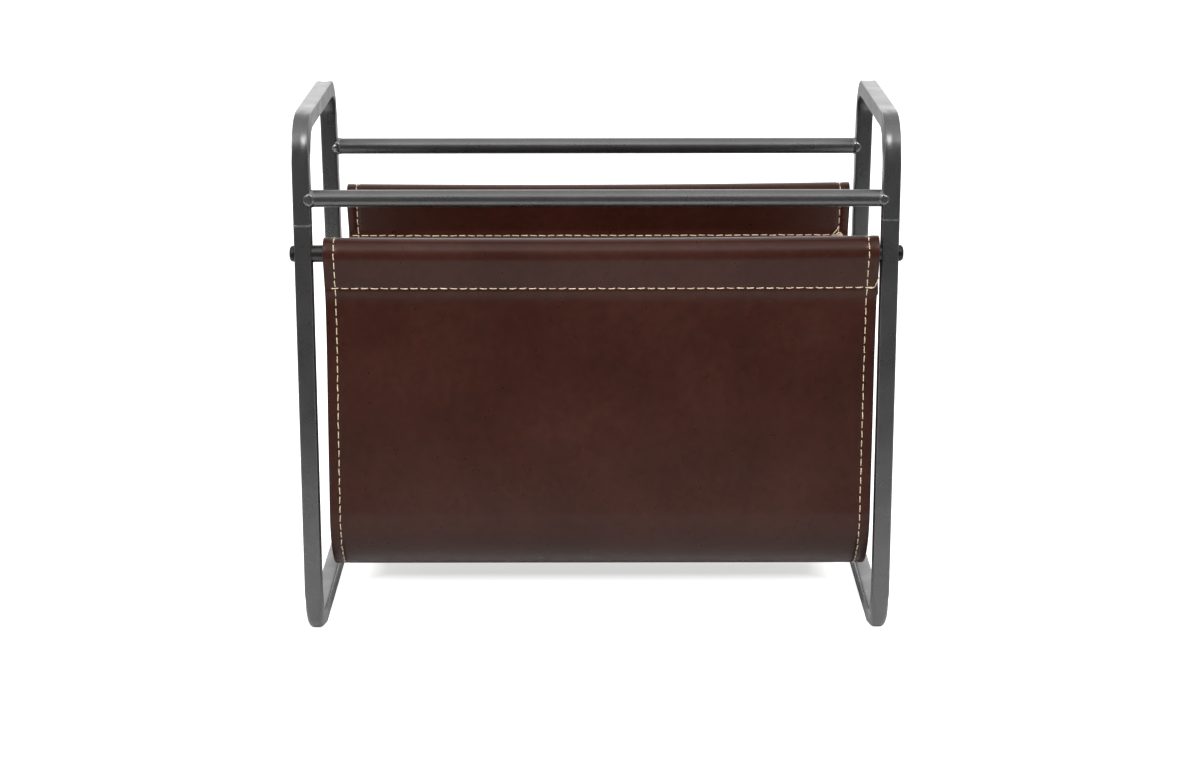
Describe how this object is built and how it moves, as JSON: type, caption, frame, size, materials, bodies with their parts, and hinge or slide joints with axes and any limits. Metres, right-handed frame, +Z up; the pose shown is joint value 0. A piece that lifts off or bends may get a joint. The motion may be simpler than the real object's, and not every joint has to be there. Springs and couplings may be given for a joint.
{
  "type": "magazine rack",
  "caption": "Free-standing magazine rack: two bent square-tube side loops joined by round rails, with a stitched leather sling hung from bolted rods.",
  "frame": {"origin": "on the floor, at the middle of the rack's length and depth", "axes": "+X along the rack's length to the right, +Y from the front to the back, +Z up"},
  "size_m": [0.3916, 0.2048, 0.345],
  "materials": {
    "frame_paint": "satin",
    "screw_black": "satin",
    "brown_leather": "satin",
    "cream_thread": "matte"
  },
  "bodies": {
    "root": {"left_side_frame": "frame_paint", "right_side_frame": "frame_paint", "left_frame_weld": "frame_paint", "right_frame_weld": "frame_paint", "front_top_rail": "frame_paint", "rear_top_rail": "frame_paint", "front_left_rail_weld": "frame_paint", "front_right_rail_weld": "frame_paint", "rear_left_rail_weld": "frame_paint", "rear_right_rail_weld": "frame_paint", "front_sling_rod": "frame_paint", "rear_sling_rod": "frame_paint", "front_left_sling_screw": "screw_black", "front_right_sling_screw": "screw_black", "rear_left_sling_screw": "screw_black", "rear_right_sling_screw": "screw_black", "sling_leather": "brown_leather", "sling_lining": "brown_leather", "left_edge_stitching": "cream_thread", "right_edge_stitching": "cream_thread", "front_hem_stitching": "cream_thread", "rear_hem_stitching": "cream_thread"}
  },
  "joints": []
}
